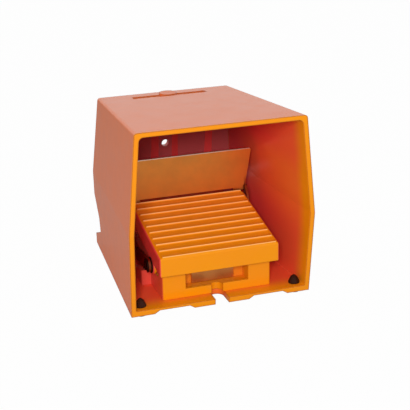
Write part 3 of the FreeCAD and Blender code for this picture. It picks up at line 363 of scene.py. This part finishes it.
def grained(tree, place, grain_mm, low, high, depth_mm):
    """A fine random grain, with the roughness from low to high and the bumps that it gives.

    The real grain is finer. It is drawn this coarse so that it shows.
    """
    grain = add_node(tree, "TexNoise", {"Vector": place, "Scale": 1 / (grain_mm * MM), "Detail": 3})
    matt = add_node(tree, "MapRange", {"Value": grain, "From Min": 0.3, "From Max": 0.7,
                                       "To Min": low, "To Max": high})
    bumps = add_node(tree, "Bump", {"Height": grain, "Distance": depth_mm * MM, "Strength": 0.3})
    return grain, {"Roughness": matt, "Normal": bumps}


def worked_metal(name, colour, roughness=0.3):
    """Turned, drawn or sintered metal, plated or bare: one even colour under a grain of 0.4 mm."""
    material, tree, place = new_material(name)
    _, surface = grained(tree, place, 0.4, roughness - 0.06, roughness + 0.1, 0.01)
    return finished(material, surface | {"Base Color": rgba(colour), "Metallic": 1.0})


def moulded_rubber(name, colour):
    """Black nitrile rubber from a blasted mould: dull, with a grain of 0.5 mm."""
    material, tree, place = new_material(name)
    grain, surface = grained(tree, place, 0.5, 0.5, 0.65, 0.02)
    hollows = rgba([c * 0.6 for c in colour])
    tone = add_node(tree, "Mix", {0: grain, 6: hollows, 7: rgba(colour)}, **COLOUR_MIX)
    return finished(material, surface | {"Base Color": tone, "Specular IOR Level": 0.15})


def moulded_plastic(name, colour):
    """Glass-filled polyamide from a spark-eroded mould: half matt, with a grain of 0.6 mm."""
    material, tree, place = new_material(name)
    grain, surface = grained(tree, place, 0.6, 0.39, 0.53, 0.023)
    hollows = rgba([c * 0.75 for c in colour])
    tone = add_node(tree, "Mix", {0: grain, 6: hollows, 7: rgba(colour)}, **COLOUR_MIX)
    return finished(material, surface | {"Base Color": tone})


def finish_nodes(material, *names):
    """Gives CAD nodes this material alone."""
    for name in names:
        cad = frame["nodes"][name]
        cad.data.materials.clear()
        cad.data.materials.append(material)


def new_piece(name, points, faces, material, body, slot):
    """A mesh piece from arrays of points in metres and of faces, on a body, smooth shaded."""
    mesh = bpy.data.meshes.new(name)
    mesh.from_pydata(points.tolist(), [], faces)
    mesh.shade_smooth()
    mesh.materials.append(material)
    piece = bpy.data.objects.new(name, mesh)
    bpy.context.collection.objects.link(piece)
    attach(piece, body)
    return piece


def swept(path, away, profile):
    """Points and outward faces of a closed profile carried along a path, with flat ends.

    At each point of the path the profile's first number runs along the away vector
    and its second along the cross product of the path's direction and that vector.
    The profile is listed counter-clockwise.
    """
    ahead = np.gradient(path, axis=0)
    ahead /= np.linalg.norm(ahead, axis=1)[:, None]
    out = away - ahead * np.sum(away * ahead, axis=1)[:, None]
    out /= np.linalg.norm(out, axis=1)[:, None]
    side = np.cross(ahead, out)
    rings = path[:, None] + profile[None, :, :1] * out[:, None] + profile[None, :, 1:] * side[:, None]
    steps, corners = rings.shape[:2]
    index = np.arange(steps * corners).reshape(steps, corners)
    turned = np.roll(index, -1, axis=1)
    quads = np.stack((index[:-1], turned[:-1], turned[1:], index[1:]), axis=-1).reshape(-1, 4)
    faces = quads.tolist() + [index[0][::-1].tolist(), index[-1].tolist()]
    return rings.reshape(-1, 3), faces


def round_profile(radius, corners=14):
    """Points round a circle."""
    turn = np.arange(corners) * 2 * np.pi / corners
    return radius * np.column_stack((np.cos(turn), np.sin(turn)))


def return_coil(windings):
    """The compression spring under the pusher's head, in the CAD spring's box.

    The wire's centre runs on a circle. Its height grows with the share s of the
    turns as s - 0.07 sin(2 pi s), which is slow at both ends and squares them.
    """
    low, high = [np.array(corner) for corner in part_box("return_spring")]
    half_wire = windings.wire / 2
    foot = np.array((*(low + high)[:2] / 2, low[2] + half_wire))
    share = np.linspace(0, 1, 241)
    turn = 2 * np.pi * windings.return_turns * share
    away = np.column_stack((np.cos(turn), np.sin(turn), 0 * turn))
    height = (high[2] - low[2] - windings.wire) * (share - 0.07 * np.sin(2 * np.pi * share))
    radius = (high[0] - low[0]) / 2 - half_wire
    return swept(foot + radius * away + np.outer(height, UP), away, round_profile(half_wire))


def trigger_coil(windings, side):
    """The torsion spring beside the pedal, on side -1 or 1: turns about the hinge pin and a straight leg.

    The turn's angle grows from straight up, over the front and down, while the wire
    moves outwards by its pitch each turn. The leg lies on the first turn's top and
    runs to the rear.
    """
    high = np.array(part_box("trigger_springs")[1])
    pin = np.mean(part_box("hinge_pin"), axis=0)
    half_wire = windings.wire / 2
    radius = high[2] - half_wire - pin[2]
    width = windings.trigger_pitch * windings.trigger_turns
    turn = np.linspace(0, 2 * np.pi * windings.trigger_turns, 211)
    coil_away = np.column_stack((0 * turn, -np.sin(turn), np.cos(turn)))
    coil = radius * coil_away + np.outer(width * turn / turn[-1], ACROSS)
    reach = np.linspace(high[1] - pin[1], 0.6 * MM, 12)
    leg_away = np.tile((0.0, 0.0, 1.0), (12, 1))
    leg = radius * leg_away + np.outer(reach, BACK)
    inner_end = np.array((high[0] - half_wire - width, pin[1], pin[2]))
    mirror = np.array((side, 1, 1))
    path = (np.vstack((leg, coil)) + inner_end) * mirror
    return swept(path, np.vstack((leg_away, coil_away)) * mirror, round_profile(half_wire))


def entry_thread(windings):
    """The crests of the thread in the open cable entry.

    A ridge winds inside the bore, with its foot sunk a little into the wall. It
    ends 0.6 and 0.5 mm short of the bore's two ends.
    """
    bore = next(mount for mount in frame["record"]["mounts"] if mount["name"] == "cable_entry")
    centre = np.array(bore["pos_m"])
    length = (bore["dims"]["length_mm"] - 1.1) * MM
    start = centre - np.array(BACK) * (bore["dims"]["length_mm"] / 2 - 0.6) * MM
    radius = (bore["dims"]["r_mm"] + 0.02) * MM
    turn = np.linspace(0, 2 * np.pi * length / windings.thread_pitch, 331)
    away = np.column_stack((-np.cos(turn), 0 * turn, -np.sin(turn)))
    path = start - radius * away + np.outer(length * turn / turn[-1], BACK)
    height, half_foot, half_crest = windings.thread_height, 0.42 * MM, 0.06 * MM
    ridge = np.array(((0, -half_foot), (height, -half_crest), (height, half_crest), (0, half_foot)))
    return swept(path, away, ridge)


class FOOTSWITCH_OT_castings(bpy.types.Operator):
    """Paint the hood, the switch base and the pedal"""

    bl_idname = "footswitch.castings"
    bl_label = "Paint castings"

    def execute(self, context):
        finish = context.scene.footswitch_finish
        # Painted shade on all three castings, and painted highlights on the pedal's ridge noses.
        hood = enamel_on_casting("orange_enamel_hood", finish, 2.0, hood_shade_share, edge_shade_share=0.75)
        base = enamel_on_casting("orange_enamel_base", finish, 0.8, base_shade_share, 0.35, 0.25)
        pedal = enamel_on_casting("orange_enamel_pedal", finish, 0.9, pedal_shade_share, 0.3, highlighted=pedal_nose_highlights)
        finish_nodes(hood, "hood")
        finish_nodes(base, "switch_base")
        finish_nodes(pedal, "pedal")
        return {"FINISHED"}


class FOOTSWITCH_OT_sheet_parts(bpy.types.Operator):
    """Plate the toe flap, the pin keeper, the base cover and the block carrier"""

    bl_idname = "footswitch.sheet_parts"
    bl_label = "Plate sheet parts"

    def execute(self, context):
        finish = context.scene.footswitch_finish
        # Painted shade on the flap's arms and a painted highlight on its sheared top edge.
        marks = ((flap_arm_shade, finish.arm_shade_colour), (flap_top_highlight, finish.bare_zinc_and_highlight))
        finish_nodes(chromated_sheet("brown_chromated_sheet", finish.chromate, finish.chromate_stain, marks),
                     "toe_flap")
        finish_nodes(chromated_sheet("yellow_chromated_sheet", linear("#F0B268"), linear("#D69A56")),
                     "pin_keeper", "base_cover", "block_carrier")
        return {"FINISHED"}


class FOOTSWITCH_OT_small_parts(bpy.types.Operator):
    """Give the screws, pins, springs, rubber and plastic parts their finishes"""

    bl_idname = "footswitch.small_parts"
    bl_label = "Finish small parts"

    def execute(self, context):
        finish = context.scene.footswitch_finish
        finish_nodes(worked_metal("zinc_plated_steel", finish.zinc),
                     "base_screws", "cover_screws", "pin_keeper_screws", "striker_screw", "striker_nut",
                     "pusher")
        finish_nodes(worked_metal("phosphated_steel", linear("#3A2A24"), 0.55),
                     "hinge_pin", "pin_clips", "pin_spacers")
        finish_nodes(worked_metal("oiled_spring_steel", linear("#4C4843"), 0.4),
                     "return_spring", "trigger_springs", "trigger_spring_ends", "pusher_clip")
        finish_nodes(worked_metal("sintered_bronze", linear("#5E4628"), 0.6), "guide_bush", "pedal_bushes")
        finish_nodes(worked_metal("turned_brass", linear("#C9A24E"), 0.28), "terminal_screws", "earth_screw")
        finish_nodes(moulded_rubber("black_nitrile_rubber", finish.rubber),
                     "foot_front_left", "foot_front_right", "foot_rear_left", "foot_rear_right",
                     "rest_buffers", "end_buffers", "cover_gasket", "pusher_seal", "plug_washer")
        finish_nodes(moulded_plastic("black_polyamide", linear("#232323")), "blanking_plug", "crossbar")
        finish_nodes(moulded_plastic("grey_polyamide", linear("#6C6E70")),
                     "contact_block_left", "contact_block_right")
        finish_nodes(moulded_plastic("red_polyamide", linear("#B8201A")),
                     "contact_plunger_left", "contact_plunger_right")
        return {"FINISHED"}


class FOOTSWITCH_OT_springs(bpy.types.Operator):
    """Wind the return spring and the two torsion springs"""

    bl_idname = "footswitch.springs"
    bl_label = "Wind springs"

    def execute(self, context):
        windings = context.scene.footswitch_windings
        steel = worked_metal("drawn_spring_steel", linear("#4C4843"), 0.4)
        coil = new_piece("return_spring_coil", *return_coil(windings), steel, "frame", "spring_steel")
        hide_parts("return_spring")
        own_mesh(coil)
        left = new_piece("trigger_coil_left", *trigger_coil(windings, -1), steel, "frame", "spring_steel")
        new_piece("trigger_coil_right", *trigger_coil(windings, 1), steel, "frame", "spring_steel")
        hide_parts("trigger_springs")
        return {"FINISHED"}


class FOOTSWITCH_OT_cable_thread(bpy.types.Operator):
    """Cut the thread in the open cable entry"""

    bl_idname = "footswitch.cable_thread"
    bl_label = "Cut cable thread"

    def execute(self, context):
        bare = worked_metal("machined_aluminium", linear("#A9A9A6"), 0.34)
        thread = entry_thread(context.scene.footswitch_windings)
        new_piece("cable_entry_thread", *thread, bare, "frame", "orange_paint_base")
        return {"FINISHED"}


def key_light(power):
    """A soft box 0.3 m wide, in front of the foot switch and to its left, that leaves no mirror image."""
    place = np.array((-0.5, -1.42, 0.68))
    back = place - (0, 0, 0.08)
    back /= np.linalg.norm(back)
    side = np.cross(UP, back)
    side /= np.linalg.norm(side)
    data = bpy.data.lights.new("key", "AREA")
    data.energy = power
    data.size = 0.3
    lamp = bpy.data.objects.new("key", data)
    lamp.visible_glossy = False
    turn = Matrix(np.column_stack((side, np.cross(back, side), back)))
    lamp.matrix_world = Matrix.Translation(place) @ turn.to_4x4()
    return lamp


def white_world(daylight):
    """Plain light all round; what the camera and reflections see of it is white."""
    world = bpy.data.worlds.new("studio_white")
    world.use_nodes = True
    tree = world.node_tree
    tree.nodes.clear()
    ray = add_node(tree, "LightPath").node.outputs
    seen = add_node(tree, "Math", {0: ray["Is Camera Ray"], 1: ray["Is Glossy Ray"]}, operation="MAXIMUM")
    seen = add_node(tree, "Math", {0: seen, 1: ray["Is Transmission Ray"]}, operation="MAXIMUM")
    strength = add_node(tree, "MapRange", {"Value": seen, "To Min": daylight, "To Max": 1.0})
    light = add_node(tree, "Background", {"Color": (1, 1, 1, 1), "Strength": strength})
    add_node(tree, "OutputWorld", {"Surface": light})
    return world


def studio_paper():
    """Matt white paper. The camera sees it near white, and it keeps a soft shadow."""
    material, tree, _ = new_material("studio_paper")
    paper = add_node(tree, "BsdfPrincipled", {"Base Color": (0.6, 0.6, 0.6, 1), "Roughness": 0.9,
                                              "Specular IOR Level": 0.1})
    glow = add_node(tree, "Emission", {"Color": (1, 1, 1, 1), "Strength": 1.0})
    seen = add_node(tree, "LightPath", output="Is Camera Ray")
    share = add_node(tree, "Math", {0: seen, 1: 0.98}, operation="MULTIPLY")
    add_node(tree, "OutputMaterial", {"Surface": add_node(tree, "MixShader", {0: share, 1: paper, 2: glow})})
    return material


def studio_floor(radius=6.0, corners=64):
    """A flat disc on the ground: the points of a circle, joined in one face."""
    turn = np.arange(corners) * 2 * np.pi / corners
    ring = np.column_stack((radius * np.cos(turn), radius * np.sin(turn), 0 * turn))
    mesh = bpy.data.meshes.new("floor")
    mesh.from_pydata(ring.tolist(), [], [list(range(corners))])
    mesh.materials.append(studio_paper())
    return bpy.data.objects.new("floor", mesh)


def studio_camera():
    """A long lens, a little above the object and to its left, turned slightly about its axis."""
    place = np.array((-0.26908, -0.88037, 0.39560))
    heading, dip, roll = 0.3103, -0.3473, -0.0221
    ahead = np.array((math.sin(heading) * math.cos(dip), math.cos(heading) * math.cos(dip), math.sin(dip)))
    right = np.array((math.cos(heading), -math.sin(heading), 0.0))
    up = np.cross(right, ahead)
    turned_right = math.cos(roll) * right + math.sin(roll) * up
    turned_up = math.cos(roll) * up - math.sin(roll) * right
    data = bpy.data.cameras.new("camera")
    data.sensor_width = 36
    data.lens = 96.223
    data.clip_start = 0.01
    camera = bpy.data.objects.new("camera", data)
    turn = Matrix(np.column_stack((turned_right, turned_up, -ahead)))
    camera.matrix_world = Matrix.Translation(place) @ turn.to_4x4()
    return camera


class FOOTSWITCH_OT_stage(bpy.types.Operator):
    """Lay the floor and set up the light and the camera"""

    bl_idname = "footswitch.stage"
    bl_label = "Set the stage"

    def execute(self, context):
        scene = context.scene
        studio = scene.footswitch_studio
        floor, lamp, camera = studio_floor(), key_light(studio.key_power), studio_camera()
        for thing in (floor, lamp, camera):
            context.collection.objects.link(thing)
        scene.world = white_world(studio.daylight)
        scene.view_settings.view_transform = "Standard"
        scene.camera = camera
        return {"FINISHED"}


class FOOTSWITCH_PT_panel(bpy.types.Panel):
    """Lists the finishes, the windings, the light and the steps that dress the foot switch"""

    bl_idname = "FOOTSWITCH_PT_panel"
    bl_label = "Foot switch"
    bl_space_type = "VIEW_3D"
    bl_region_type = "UI"
    bl_category = "Foot switch"

    def draw(self, context):
        for group in GROUPS:
            values = getattr(context.scene, group)
            for name in values.bl_rna.properties.keys():
                if name not in ("rna_type", "name"):
                    self.layout.prop(values, name)
        for step in STEPS:
            self.layout.operator(step.bl_idname)


GROUPS = {
    "footswitch_finish": FOOTSWITCH_PG_finish,
    "footswitch_windings": FOOTSWITCH_PG_windings,
    "footswitch_studio": FOOTSWITCH_PG_studio,
}
STEPS = (
    FOOTSWITCH_OT_castings,
    FOOTSWITCH_OT_sheet_parts,
    FOOTSWITCH_OT_small_parts,
    FOOTSWITCH_OT_springs,
    FOOTSWITCH_OT_cable_thread,
    FOOTSWITCH_OT_stage,
)
CLASSES = (*GROUPS.values(), *STEPS, FOOTSWITCH_PT_panel)


def register():
    for cls in CLASSES:
        bpy.utils.register_class(cls)
    for name, group in GROUPS.items():
        setattr(bpy.types.Scene, name, bpy.props.PointerProperty(type=group))


def unregister():
    for name in GROUPS:
        delattr(bpy.types.Scene, name)
    for cls in reversed(CLASSES):
        bpy.utils.unregister_class(cls)


def main():
    register()
    for step in STEPS:
        group, name = step.bl_idname.split(".")
        getattr(getattr(bpy.ops, group), name)()


if __name__ == "__main__":
    main()
